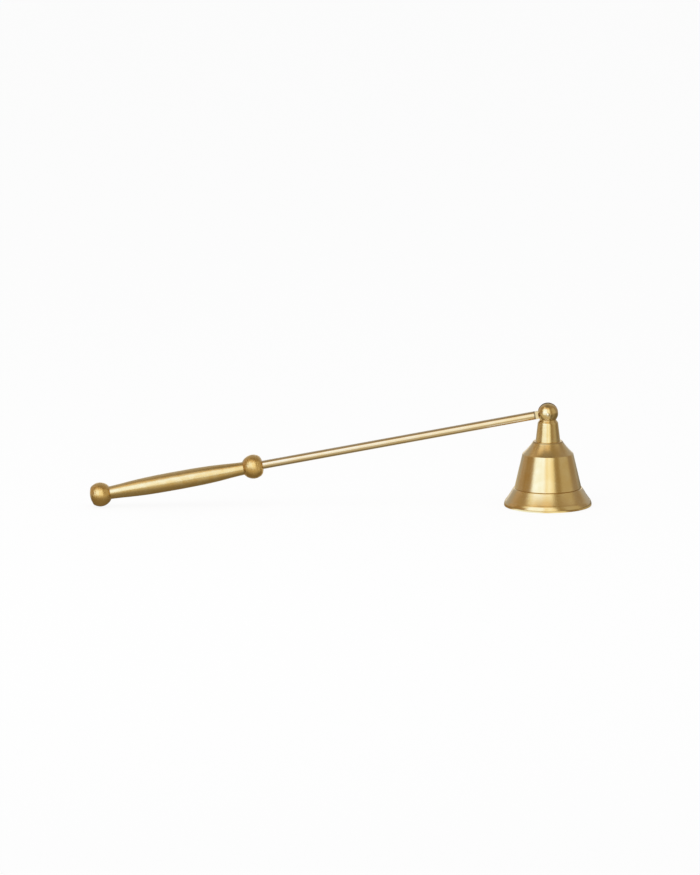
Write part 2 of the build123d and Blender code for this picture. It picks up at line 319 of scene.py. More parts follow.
def walked_lengths(points):
    """How far along an outline each of its points lies."""
    return np.concatenate(([0.0], np.cumsum(np.hypot(*np.diff(points, axis=0).T))))


def points_at(places, walked, points):
    """The points that lie at some places along an outline."""
    return np.stack([np.interp(places, walked, points[:, k]) for k in (0, 1)], 1)


def outline_bends(points):
    """How sharply the outline turns about each point: positive on an outer edge, negative in a crease."""
    walked = walked_lengths(points)
    ahead = points_at(walked + BEND_REACH, walked, points) - points
    behind = points - points_at(walked - BEND_REACH, walked, points)
    cross = behind[:, 0] * ahead[:, 1] - behind[:, 1] * ahead[:, 0]
    dot = (ahead * behind).sum(1)
    return np.arctan2(cross, dot + NO_LENGTH)


def round_angles(sides):
    """The bearings of a ring's points."""
    return np.linspace(0, math.tau, sides, endpoint=False)


def eased(t):
    """From 0 to 1 with a soft start and a soft end."""
    return t * t * (3 - 2 * t)


def uneven(places, pitch, seed, gaps=(0.35, 0.65)):
    """A smooth uneven wave from 0 to 1 along the places, with crests about one pitch apart.

    gaps is the least and the greatest share of a pitch between two of its heights.
    """
    chance = random.Random(seed)
    stops, heights = [float(places.min())], [chance.random()]
    while stops[-1] < places.max():
        stops.append(stops[-1] + pitch * chance.uniform(*gaps))
        heights.append(chance.random())
    index = np.clip(np.searchsorted(stops, places, side="right") - 1, 0, len(stops) - 2)
    stops, heights = np.array(stops), np.array(heights)
    t = eased(np.clip((places - stops[index]) / (stops[index + 1] - stops[index]), 0, 1))
    return heights[index] * (1 - t) + heights[index + 1] * t


def swing(angles, share_lost, waves, phase):
    """How deep marks run towards each bearing: 1 on their deepest side, and less on the others."""
    return 1 - share_lost + share_lost * np.sin(angles * waves + phase)


def dapple(heights, angles, radius, size, seed, stretch=1.6, contrast=0.9):
    """Soft patches from 0 to 1 over a turned surface, longer along the axis than around it."""
    values = np.empty((len(heights), len(angles)))
    circle = [(math.cos(a) * radius / size, math.sin(a) * radius / size) for a in angles]
    for i, height in enumerate(heights):
        lift = height / (size * stretch)
        for j, (x, y) in enumerate(circle):
            values[i, j] = noise.noise((x + seed, y, lift))
    return np.clip(0.5 + values * contrast, 0, 1)


def link_new(name, data):
    """A new object in the scene."""
    made = bpy.data.objects.new(name, data)
    bpy.context.scene.collection.objects.link(made)
    return made


def spin(name, points, relief, place, closed=False):
    """A turned mesh. relief is how deep each point of each ring is cut into the metal.

    Its attributes say how much a point lies on an edge (wear), in a crease (grime and painted shade) or
    face up (tilt).
    """
    count = len(points)
    walked = np.roll(points, -1, axis=0) - np.roll(points, 1, axis=0)
    if not closed:
        walked[0] = points[1] - points[0]
        walked[-1] = points[-1] - points[-2]
    out = np.stack((walked[:, 1], -walked[:, 0]), 1) / np.hypot(*walked.T)[:, None]
    sides = relief.shape[1]
    angles = round_angles(sides)
    radii = points[:, :1] - relief * out[:, :1]
    heights = points[:, 1:] - relief * out[:, 1:]
    rings = []
    vertices = []
    for i in range(count):
        if points[i, 0] < AXIS_RADIUS:
            rings.append([len(vertices)] * sides)
            vertices.append((0.0, 0.0, points[i, 1]))
            continue
        rings.append(list(range(len(vertices), len(vertices) + sides)))
        ring = np.stack((radii[i] * np.cos(angles), radii[i] * np.sin(angles), heights[i]), 1)
        vertices.extend(map(tuple, ring))
    faces = []
    for i in range(count if closed else count - 1):
        low, high = rings[i], rings[(i + 1) % count]
        for j in range(sides):
            k = (j + 1) % sides
            corners = [low[j], low[k], high[k], high[j]]
            faces.append([c for n, c in enumerate(corners) if c != corners[n - 1]])
    mesh = bpy.data.meshes.new(name)
    mesh.from_pydata(vertices, [], faces)
    mesh.transform(place)
    bends = outline_bends(points)
    # A point deep in a crease is darkened with grime and painted shade
    for attribute_name, shares in {"wear": bends, "grime": -bends, "tilt": out[:, 1]}.items():
        values = [0.0] * len(vertices)
        for ring, value in zip(rings, np.clip(shares, 0, 1)):
            for index in ring:
                values[index] = float(value)
        attribute = mesh.attributes.new(attribute_name, "FLOAT", "POINT")
        attribute.data.foreach_set("value", values)
    mesh.shade_smooth()
    mesh.set_sharp_from_angle(angle=SHARP_ANGLE)
    return link_new(name, mesh)


# Places on the handle, and what joins a piece to the frame

class HandleLayout:
    """What follows from the handle's sizes. Stations are distances along its axis from the hinge pin."""

    def __init__(self):
        s = bpy.context.scene.snuffer_handle
        self.seat_radius = s.grip_end_radius + s.knob_seat_margin
        self.tail_bore = s.rod_tail_radius + s.bore_gap
        self.stud_bore = s.stud_radius + s.bore_gap

        # From a knob's centre to the edge and the crest of its face and to the grip, and the face's sphere
        self.face = math.sqrt(s.knob_radius**2 - s.knob_face_radius**2)
        self.tip = self.face + s.knob_face_dome
        self.seat = math.sqrt(s.knob_radius**2 - self.seat_radius**2)
        self.dome = (s.knob_face_radius**2 + s.knob_face_dome**2) / (2 * s.knob_face_dome)

        self.collar_knob = s.tongue_length + s.rod_bare_length + self.tip
        self.grip = self.collar_knob + self.seat
        self.end_knob = self.grip + s.grip_length + self.seat

        # The end knob rests on the table
        self.tilt = math.asin((PIN.z - s.knob_radius) / self.end_knob)

    def place(self, station):
        """Where a point of the axis lies, with the local height running away from the pin."""
        direction = Vector((-math.cos(self.tilt), 0, -math.sin(self.tilt)))
        across = Vector((0, 1, 0))
        turned = Matrix((across, direction.cross(across), direction)).transposed().to_4x4()
        return Matrix.Translation(PIN + direction * station) @ turned


def dress(piece, node, body, material):
    """Puts a made piece in the place of a CAD node, and stops if it doesn't fit the node's box."""
    corners = np.array([piece.matrix_world @ v.co for v in piece.data.vertices])
    low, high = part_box(node)
    miss = max(np.abs(corners.min(0) - low).max(), np.abs(corners.max(0) - high).max())
    if miss > FIT_TOLERANCE:
        raise RuntimeError(f"{piece.name} misses the box of {node} by {miss / MM:.3f} mm")
    piece.data.materials.append(material)
    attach(piece, body)
    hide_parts(node)


def finish_node(node, material):
    """Gives a CAD node its finish."""
    piece = frame["nodes"][node]
    piece.data.materials.clear()
    piece.data.materials.append(material)


# Shader trees

def node_operator(operation):
    """An operator that adds its Math node, and its reflected form."""

    def forward(self, other):
        return self.join(operation, self, other)

    def reflected(self, other):
        return self.join(operation, other, self)

    return forward, reflected


class Value:
    """One output of a shader node. An expression on numbers adds Math nodes, and on vectors Vector Math."""

    __add__, __radd__ = node_operator("ADD")
    __sub__, __rsub__ = node_operator("SUBTRACT")
    __mul__, __rmul__ = node_operator("MULTIPLY")
    __truediv__, __rtruediv__ = node_operator("DIVIDE")
    __pow__, __rpow__ = node_operator("POWER")

    def __init__(self, tree, socket):
        self.tree = tree
        self.socket = socket

    def join(self, operation, first, second):
        """Adds the node of an operation on numbers or on vectors."""
        is_vector = any(isinstance(v, Value) and v.socket.type != "VALUE" for v in (first, second))
        kind = "ShaderNodeVectorMath" if is_vector else "ShaderNodeMath"
        return self.tree.node(kind, {"operation": operation}, {0: first, 1: second})


class ShaderTree:
    """Builds the node tree of a material or a world."""

    # The sockets of a Mix node for colours, which share their names with those for numbers
    MIX_FACTOR, MIX_FIRST, MIX_SECOND, MIX_RESULT = 0, 6, 7, 2

    def __init__(self, owner):
        owner.use_nodes = True
        self.tree = owner.node_tree
        self.tree.nodes.clear()

    def node(self, kind, settings=None, inputs=None, output=0):
        """Adds a node: its settings first, then the values or links of its sockets."""
        made = self.tree.nodes.new(kind)
        for key, value in (settings or {}).items():
            setattr(made, key, value)
        for key, value in (inputs or {}).items():
            socket = made.inputs[key]
            if isinstance(value, Value):
                self.tree.links.new(value.socket, socket)
            elif socket.type == "RGBA" and len(value) == 3:
                socket.default_value = (*value, 1.0)
            elif socket.type == "VECTOR" and isinstance(value, (int, float)):
                socket.default_value = (value, value, value)
            else:
                socket.default_value = value
        return Value(self, made.outputs[output]) if made.outputs else None

    def smooth(self, value, low, high):
        """0 below low, 1 above high, with a soft passage between."""
        return self.node(
            "ShaderNodeMapRange", {"interpolation_type": "SMOOTHSTEP"},
            {"Value": value, "From Min": low, "From Max": high},
        )

    def mix(self, factor, first, second):
        """From the first colour to the second."""
        inputs = {self.MIX_FACTOR: factor, self.MIX_FIRST: first, self.MIX_SECOND: second}
        return self.node("ShaderNodeMix", {"data_type": "RGBA"}, inputs, output=self.MIX_RESULT)

    def noise(self, place, size, detail=2.0, roughness=0.5, fourth=None):
        """Soft noise from 0 to 1 with features of one size."""
        inputs = {"Vector": place, "Scale": 1 / size, "Detail": detail, "Roughness": roughness}
        if fourth is not None:
            inputs["W"] = fourth
        settings = {"noise_dimensions": "3D" if fourth is None else "4D"}
        return self.node("ShaderNodeTexNoise", settings, inputs)

    def shown_ray(self):
        """1 for the rays that show a background: those of the camera, of shine and of glass."""
        kinds = ("Is Camera Ray", "Is Glossy Ray", "Is Transmission Ray")
        camera, glossy, transmission = (self.node("ShaderNodeLightPath", output=k) for k in kinds)
        both = self.node("ShaderNodeMath", {"operation": "MAXIMUM"}, {0: camera, 1: glossy})
        return self.node("ShaderNodeMath", {"operation": "MAXIMUM"}, {0: both, 1: transmission})

    def surface(self, shader, kind="ShaderNodeOutputMaterial"):
        """Ends the tree."""
        self.node(kind, {}, {"Surface": shader})


# Finishes

# Sizes of the marks that every finish has, and how far their noise drifts once round the axis
LINE_SIZE = 0.14 * MM
LINE_DRIFT = 0.4 * MM
LINE_DRIFT_FOURTH = 2.5
MARK_DRIFT_SHARE = 0.5
DRAWN_LINE_SIZE = 0.12 * MM
DRAWN_SQUEEZE = 0.01
SPOT_SIZE = 1.3 * MM

# Where each mask starts and where it is full
PATCH_MASK = (0.36, 0.64)
MARK_MASK = (0.34, 0.66)
CREASE_MASK = (0.2, 0.9)
WEAR_MASK = (0.15, 0.9)
TILT_MASK = (0.35, 0.7)
# A dark band round a step, of grime and painted shade
DARK_BAND_PASSAGE = (0.15 * MM, 0.55 * MM)

# Tints of the base colour, and how strongly each mask acts on the colour and on the roughness
WARM_TINT = (0.97, 0.90, 0.76)
PALE_TINT = (1.03, 1.06, 1.16)
LEAST_PALENESS = 0.18
LINE_PALENESS = 0.15
WEAR_PALENESS = 0.35
# Creases and bands are darkened with grime and painted shade
CREASE_GRIME_AND_SHADE = 0.2
SPOT_GRIME = 0.3
GRIME_ROUGHNESS = 0.25
WEAR_SHINE = 0.06


def turned_brass(name, colour_name, place, *, rough, mark_size, mark_height, line_height,
                 patch_size=5.0 * MM, patch_strength=0.5, along=False, dull_tilt=0.0,
                 dark_band_height=None, dark_band_share=0.6, mark_detail=2.0, mark_tint=0.12):
    """Metal finished on the lathe, with lines that run around the axis that place gives.

    rough is the least and the greatest roughness. along turns the lines lengthwise, as on drawn stock.
    dull_tilt roughens faces that look up, and the band's height is where a dark band runs round, of grime
    and painted shade.
    """
    colours = bpy.context.scene.snuffer_colours
    base = getattr(colours, colour_name)
    material = bpy.data.materials.new(name)
    tree = ShaderTree(material)

    def shared(attribute_name):
        return tree.node("ShaderNodeAttribute", {"attribute_name": attribute_name}, output="Fac")

    def combined(x, y, z):
        return tree.node("ShaderNodeCombineXYZ", {}, {"X": x, "Y": y, "Z": z})

    start, rotation, _ = place.decompose()
    where = tree.node("ShaderNodeTexCoord", output="Object")
    local = tree.node(
        "ShaderNodeMapping", {"vector_type": "TEXTURE"},
        {"Vector": where, "Location": start, "Rotation": rotation.to_euler()},
    )
    x, y, height = (tree.node("ShaderNodeSeparateXYZ", {}, {"Vector": local}, output=k) for k in "XYZ")
    if along:
        lengthwise = combined(x, y, height * DRAWN_SQUEEZE)
        marks = tree.noise(lengthwise, mark_size)
        lines = tree.noise(lengthwise, DRAWN_LINE_SIZE, detail=3.0, roughness=0.6)
    else:
        radius = (x * x + y * y) ** 0.5
        round_x = x / (radius + AXIS_CLEARANCE)
        round_y = y / (radius + AXIS_CLEARANCE)
        ring = combined(radius, height, round_x * (MARK_DRIFT_SHARE * mark_size))
        marks = tree.noise(ring, mark_size, detail=mark_detail, fourth=round_y * MARK_DRIFT_SHARE)
        fine = combined(radius, height, round_x * LINE_DRIFT)
        lines = tree.noise(fine, LINE_SIZE, detail=3.0, roughness=0.65, fourth=round_y * LINE_DRIFT_FOURTH)
    patches = tree.noise(local, patch_size, detail=3.0, roughness=0.55)
    spots = tree.noise(local, SPOT_SIZE)

    warm = [c * k for c, k in zip(base, WARM_TINT)]
    pale = [min(1.0, c * k) for c, k in zip(base, PALE_TINT)]
    tone = tree.smooth(patches, *PATCH_MASK) * patch_strength + tree.smooth(marks, *MARK_MASK) * mark_tint
    tone = tone + lines * LINE_PALENESS + (LEAST_PALENESS - mark_tint / 2)
    # Darker in creases and in a band round a step: grime and painted shade
    darkening = tree.smooth(shared("grime"), *CREASE_MASK) * (CREASE_GRIME_AND_SHADE + spots * SPOT_GRIME)
    if dark_band_height is not None:
        aside = tree.node("ShaderNodeMath", {"operation": "ABSOLUTE"}, {0: height - dark_band_height})
        band = 1 - tree.smooth(aside, *DARK_BAND_PASSAGE)
        darkening = darkening + band * (dark_band_share + spots * SPOT_GRIME)
    worn = tree.smooth(shared("wear"), *WEAR_MASK)
    skin = tree.mix(darkening, tree.mix(tone, warm, pale), colours.grime)

    least, greatest = rough
    roughness = least + (lines * 0.5 + patches * 0.5) * (greatest - least)
    roughness = roughness + darkening * GRIME_ROUGHNESS - worn * WEAR_SHINE
    if dull_tilt:
        roughness = roughness + tree.smooth(shared("tilt"), *TILT_MASK) * dull_tilt
    relief = marks * mark_height + lines * line_height
    brass = tree.node("ShaderNodeBsdfPrincipled", {}, {
        "Base Color": tree.mix(worn * WEAR_PALENESS, skin, pale),
        "Metallic": 1.0,
        "Roughness": roughness,
        "Normal": tree.node("ShaderNodeBump", {}, {"Height": relief, "Distance": 1.0, "Strength": 1.0}),
    })
    tree.surface(brass)
    return material


# Pieces

BELL_AXIS = Matrix.Identity(4)


class SNUFFER_OT_bell(bpy.types.Operator):
    """Turn the bell, inside and out, with its lip, groove and hollow shoulder"""

    bl_idname = "snuffer.bell"
    bl_label = "Bell"

    # How much of its full bulge and hollow the outside shows, and the roundings of its corners
    LIP_BULGE_SHARE = 0.75
    FLARE_SAG_SHARE = 0.5
    LIP_TOP_ROUND = 1.2 * MM
    FLARE_TOP_ROUND = 0.15 * MM
    BODY_BASE_ROUND = 0.12 * MM
    SOFT_ROUND = 0.2 * MM
    CROWN_INNER_ROUND = 0.6 * MM
    SHOULDER_INNER_ROUND = 0.8 * MM
    BODY_INNER_ROUND = 1.0 * MM

    # The mesh, its marks, and the dark band below the ledge, of grime and painted shade
    STEP = 0.2 * MM
    INNER_STEP = 2.2 * STEP
    SIDES = 224
    MARK_SEED = 11
    MARK_SWING = {"share_lost": 0.25, "waves": 2, "phase": 0.6}
    RIM_FLAT = 0.02 * MM
    GRIME_DROP = 0.45 * MM

    def execute(self, context):
        s = context.scene.snuffer_bell
        marks = context.scene.snuffer_marks
        lip_top_radius = s.rim_radius - s.lip_taper
        crease_radius = lip_top_radius - s.crease_depth
        flare_top = s.lip_height + s.flare_height
        flare_top_radius = s.body_base_radius + s.flare_overhang
        body_base = flare_top + s.groove_height
        body_top = body_base + s.body_height
        body_top_radius = s.body_base_radius - s.body_taper
        bell_height = body_top + s.shoulder_height
        crown_underside = bell_height - s.crown_thickness
        ledge_radius = s.neck_base_radius + s.ledge_width
        rim_inner = s.rim_radius - s.rim_width
        rim_middle = (rim_inner + s.rim_radius) / 2
        outside = Outline(rim_middle, 0)
        outside.line(s.rim_radius, 0, s.rim_round)
        outside.arc(lip_top_radius, s.lip_height, -self.LIP_BULGE_SHARE * s.lip_bulge, self.LIP_TOP_ROUND)
        outside.arc(flare_top_radius, flare_top, self.FLARE_SAG_SHARE * s.flare_sag, self.FLARE_TOP_ROUND)
        outside.line(s.body_base_radius - s.groove_depth, flare_top + s.groove_height / 2, EDGE_ROUND)
        outside.line(s.body_base_radius, body_base, self.BODY_BASE_ROUND)
        outside.line(body_top_radius, body_top, s.body_corner_round)
        outside.arc(ledge_radius, bell_height - s.ledge_slope, s.shoulder_sag, self.SOFT_ROUND)
        outside.line(s.neck_base_radius, bell_height)
        inside = Outline(s.neck_base_radius, bell_height)
        inside.line(s.crown_hole_radius, bell_height, EDGE_ROUND)
        inside.line(s.crown_hole_radius, crown_underside, EDGE_ROUND)
        inside.line(ledge_radius, crown_underside, self.CROWN_INNER_ROUND)
        shoulder_foot = body_top - s.wall / 2
        inside.arc(body_top_radius - s.wall, shoulder_foot, -s.shoulder_sag, self.SHOULDER_INNER_ROUND)
        inside.line(s.body_base_radius - s.wall, flare_top, self.BODY_INNER_ROUND)
        inside.arc(crease_radius - s.lip_wall, s.lip_height, -s.flare_sag, self.SOFT_ROUND)
        inside.line(rim_inner, 0, s.rim_round)
        inside.line(rim_middle, 0)
        points = np.vstack((outside.sampled(self.STEP), inside.sampled(self.INNER_STEP)[1:-1]))
        depth = uneven(walked_lengths(points), marks.bell_pitch, self.MARK_SEED) * marks.bell_depth
        depth[:2] = 0.0
        depth[(points[:, 1] < self.RIM_FLAT) | (points[:, 1] > bell_height - s.ledge_slope)] = 0.0
        relief = depth[:, None] * swing(round_angles(self.SIDES), **self.MARK_SWING)
        piece = spin("bell_turned", points, relief, BELL_AXIS, closed=True)
        finish = turned_brass(
            "bell_satin_brass", "bell", BELL_AXIS, rough=(0.13, 0.21),
            mark_size=0.9 * MM, mark_height=0.010 * MM, line_height=0.009 * MM,
            patch_size=9.0 * MM, patch_strength=0.45, dull_tilt=0.07,
            dark_band_height=bell_height - self.GRIME_DROP, dark_band_share=0.25,
        )
        dress(piece, "bell", BELL_BODY, finish)
        return {"FINISHED"}


class SNUFFER_OT_hinge(bpy.types.Operator):
    """Finish the neck with its slotted ball, and the pin through the ball"""

    bl_idname = "snuffer.hinge"
    bl_label = "Neck, ball and pin"

    def execute(self, context):
        neck = turned_brass(
            "neck_satin_brass", "neck", BELL_AXIS, rough=(0.13, 0.20),
            mark_size=0.9 * MM, mark_height=0.010 * MM, line_height=0.006 * MM,
        )
        finish_node("hinge_head", neck)
        pin_axis = Matrix.Translation(PIN) @ Matrix.Rotation(-math.pi / 2, 4, "X")
        pin = turned_brass(
            "pin_polished_brass", "pin", pin_axis, rough=(0.24, 0.34),
            mark_size=0.3 * MM, mark_height=0.002 * MM, line_height=0.001 * MM, patch_size=1.5 * MM,
        )
        finish_node("hinge_pin", pin)
        return {"FINISHED"}


class SNUFFER_OT_rod(bpy.types.Operator):
    """Finish the drawn rod with its milled tongue"""

    bl_idname = "snuffer.rod"
    bl_label = "Rod"

    def execute(self, context):
        drawn = turned_brass(
            "rod_drawn_brass", "rod", HandleLayout().place(0), rough=(0.13, 0.20), along=True,
            mark_size=0.5 * MM, mark_height=0.004 * MM, line_height=0.001 * MM, patch_size=14.0 * MM,
            # A dark band at the tongue's step: painted shade of the step, with grime
            dark_band_height=context.scene.snuffer_handle.tongue_length,
        )
        finish_node("rod", drawn)
        return {"FINISHED"}


class SNUFFER_OT_knobs(bpy.types.Operator):
    """Turn the collar knob and the end knob"""

    bl_idname = "snuffer.knobs"
    bl_label = "Knobs"

    STEP = 0.12 * MM
    SIDES = 192
    MARK_SEEDS = {"collar_knob": 21, "end_knob": 22}
    MARK_SWING_LOST = 0.3
    MARK_SWING_PHASE = 1.7
    UNMARKED_MARGIN = 0.6 * MM

    def execute(self, context):
        s = context.scene.snuffer_handle
        at = HandleLayout()
        socket = s.rod_radius + s.bore_gap
        socket_floor = s.rod_socket_depth - at.tip
        mouth = math.sqrt(at.dome**2 - socket**2) - (at.dome - at.tip)
        mouth_chord = math.hypot(s.knob_face_radius - socket, mouth - at.face)
        mouth_rise = at.dome - math.sqrt(at.dome**2 - mouth_chord**2 / 4)
        collar = Outline(socket, socket_floor)
        collar.line(socket, -mouth, EDGE_ROUND)
        collar.arc(s.knob_face_radius, -at.face, -mouth_rise, s.knob_edge_round)
        collar.ball(at.seat_radius, at.seat, 0, EDGE_ROUND)
        collar.line(at.tail_bore, at.seat, EDGE_ROUND)
        collar.line(at.tail_bore, socket_floor, EDGE_ROUND)
        collar.line(socket, socket_floor)
        points = collar.sampled(self.STEP)[:-1]
        self.turn_knob(context, "collar_knob", points, True, at.place(at.collar_knob))
        bore_floor = s.stud_in_knob + s.blind_gap - at.seat
        end = Outline(0, bore_floor)
        end.line(at.stud_bore, bore_floor, EDGE_ROUND)
        end.line(at.stud_bore, -at.seat, EDGE_ROUND)
        end.line(at.seat_radius, -at.seat, EDGE_ROUND)
        end.ball(s.knob_face_radius, at.face, 0, s.knob_edge_round)
        face_rise = at.dome - math.sqrt(at.dome**2 - (s.knob_face_radius**2 + s.knob_face_dome**2) / 4)
        end.arc(0, at.tip, -face_rise)
        self.turn_knob(context, "end_knob", end.sampled(self.STEP), False, at.place(at.end_knob))
        return {"FINISHED"}

    def turn_knob(self, context, node, points, closed, place):
        """One knob, with its turning marks around the ball and none in its bore."""
        marks = context.scene.snuffer_marks
        seed = self.MARK_SEEDS[node]
        depth = uneven(walked_lengths(points), marks.knob_pitch, seed) * marks.knob_depth
        ball = points[:, 0] > context.scene.snuffer_handle.rod_radius + self.UNMARKED_MARGIN
        depth = np.where(ball, depth, 0.0)
        turned = swing(round_angles(self.SIDES), self.MARK_SWING_LOST, 1, self.MARK_SWING_PHASE * seed)
        piece = spin(node + "_turned", points, depth[:, None] * turned, place, closed)
        finish = turned_brass(
            node + "_brushed_brass", "knob", place, rough=(0.18, 0.30),
            mark_size=1.2 * MM, mark_height=0.03 * MM, line_height=0.002 * MM,
            mark_detail=0.5, mark_tint=0.6,
        )
        dress(piece, node, HANDLE_BODY, finish)


class SNUFFER_OT_grip(bpy.types.Operator):
    """Turn the spindle-shaped grip and rub its surface by hand"""

    bl_idname = "snuffer.grip"
    bl_label = "Grip"

    # From an end to the middle: shares of the length, and how much of its swell the grip has there
    LENGTH_SHARES = (0.0, 0.09, 0.21, 0.355, 0.5)
    SWELL_SHARES = (0.0, 0.265, 0.7, 0.945, 1.0)

    OUTLINE_POINTS = 300
    STEP = 0.3 * MM
    SIDES = 128
    MARK_SEED = 31
    DAPPLE_SEED = 3.7
    DAPPLE_FADE = 4 * MM

    def outline_radii(self, sizes, heights):
        """Radius of the grip at each height: a smooth curve through a few points."""
        half = np.array(self.LENGTH_SHARES)
        swell = np.array(self.SWELL_SHARES)
        knots = np.concatenate((half, 1 - half[-2::-1])) * sizes.grip_length
        radii = sizes.grip_end_radius + np.concatenate((swell, swell[-2::-1])) * sizes.grip_swell
        gaps = np.diff(knots)
        rises = np.diff(radii) / gaps
        count = len(knots)
        matrix = np.eye(count)
        wanted = np.zeros(count)
        wanted[0], wanted[-1] = sizes.grip_end_slope, -sizes.grip_end_slope
        for i in range(1, count - 1):
            matrix[i, i - 1:i + 2] = (gaps[i], 2 * (gaps[i - 1] + gaps[i]), gaps[i - 1])
            wanted[i] = 3 * (gaps[i] * rises[i - 1] + gaps[i - 1] * rises[i])
        slopes = np.linalg.solve(matrix, wanted)
        index = np.clip(np.searchsorted(knots, heights, side="right") - 1, 0, count - 2)
        t = (heights - knots[index]) / gaps[index]
        gap = gaps[index]
        start = (2 * t**3 - 3 * t**2 + 1) * radii[index] + (t**3 - 2 * t**2 + t) * gap * slopes[index]
        stop = (3 * t**2 - 2 * t**3) * radii[index + 1] + (t**3 - t**2) * gap * slopes[index + 1]
        return start + stop

    def execute(self, context):
        s = context.scene.snuffer_handle
        marks = context.scene.snuffer_marks
        heights = np.linspace(0, s.grip_length, self.OUTLINE_POINTS)
        radii = self.outline_radii(s, heights)
        at = HandleLayout()
        front_floor = s.rod_tail_engagement + s.blind_gap
        rear_floor = s.grip_length - s.stud_in_grip - s.blind_gap
        grip = Outline(0, front_floor)
        grip.line(at.tail_bore, front_floor, EDGE_ROUND)
        grip.line(at.tail_bore, 0, EDGE_ROUND)
        grip.line(s.grip_end_radius, 0, EDGE_ROUND)
        grip.curve(np.stack((radii, heights), 1)[1:], EDGE_ROUND)
        grip.line(at.stud_bore, s.grip_length, EDGE_ROUND)
        grip.line(at.stud_bore, rear_floor, EDGE_ROUND)
        grip.line(0, rear_floor)
        points = grip.sampled(self.STEP)
        skin = (points[:, 0] > s.grip_end_radius - EDGE_ROUND)[:, None]
        rings = uneven(walked_lengths(points), marks.grip_pitch, self.MARK_SEED)[:, None] * marks.grip_depth
        angles = round_angles(self.SIDES)
        patches = dapple(points[:, 1], angles, s.grip_end_radius, marks.grip_dapple_size, self.DAPPLE_SEED)
        from_end = np.minimum(points[:, 1], s.grip_length - points[:, 1])
        fade = np.clip(from_end / self.DAPPLE_FADE, 0, 1)[:, None]
        relief = np.where(skin, rings + patches * marks.grip_dapple_depth * fade, 0.0)
        place = at.place(at.grip)
        piece = spin("grip_turned", points, relief, place)
        finish = turned_brass(
            "grip_rubbed_brass", "grip", place, rough=(0.18, 0.30), patch_strength=0.6,
            mark_size=1.2 * MM, mark_height=0.010 * MM, line_height=0.005 * MM,
        )
        dress(piece, "grip", HANDLE_BODY, finish)
        return {"FINISHED"}


class SNUFFER_OT_fasteners(bpy.types.Operator):
    """Finish the screw and washer inside the bell, and the stud in the end knob"""

    bl_idname = "snuffer.fasteners"
    bl_label = "Screw, washer and stud"

    def execute(self, context):
        cut = {
            "mark_size": 0.4 * MM,
            "mark_height": 0.004 * MM,
            "line_height": 0.003 * MM,
            "patch_size": 3.0 * MM,
        }
        brass = turned_brass(
            "fastener_machined_brass", "fastener", BELL_AXIS, rough=(0.24, 0.36), **cut,
        )
        finish_node("bell_screw", brass)
        finish_node("bell_washer", brass)
        at = HandleLayout()
        steel = turned_brass(
            "stud_plain_steel", "stud", at.place(at.end_knob), rough=(0.3, 0.42), **cut,
        )
        finish_node("knob_stud", steel)
        return {"FINISHED"}


# Studio

def bearing(azimuth, elevation):
    """Direction towards a bearing in degrees: azimuth 0 is towards -Y and 90 towards +X."""
    a, e = math.radians(azimuth), math.radians(elevation)
    return Vector((math.sin(a) * math.cos(e), -math.cos(a) * math.cos(e), math.sin(e)))


def soft_step(value, middle, half_width):
    """From 0 to 1 round a middle value, with a soft passage that is two half widths wide."""
    return eased(min(1.0, max(0.0, ((value - middle) / half_width + 1) / 2)))


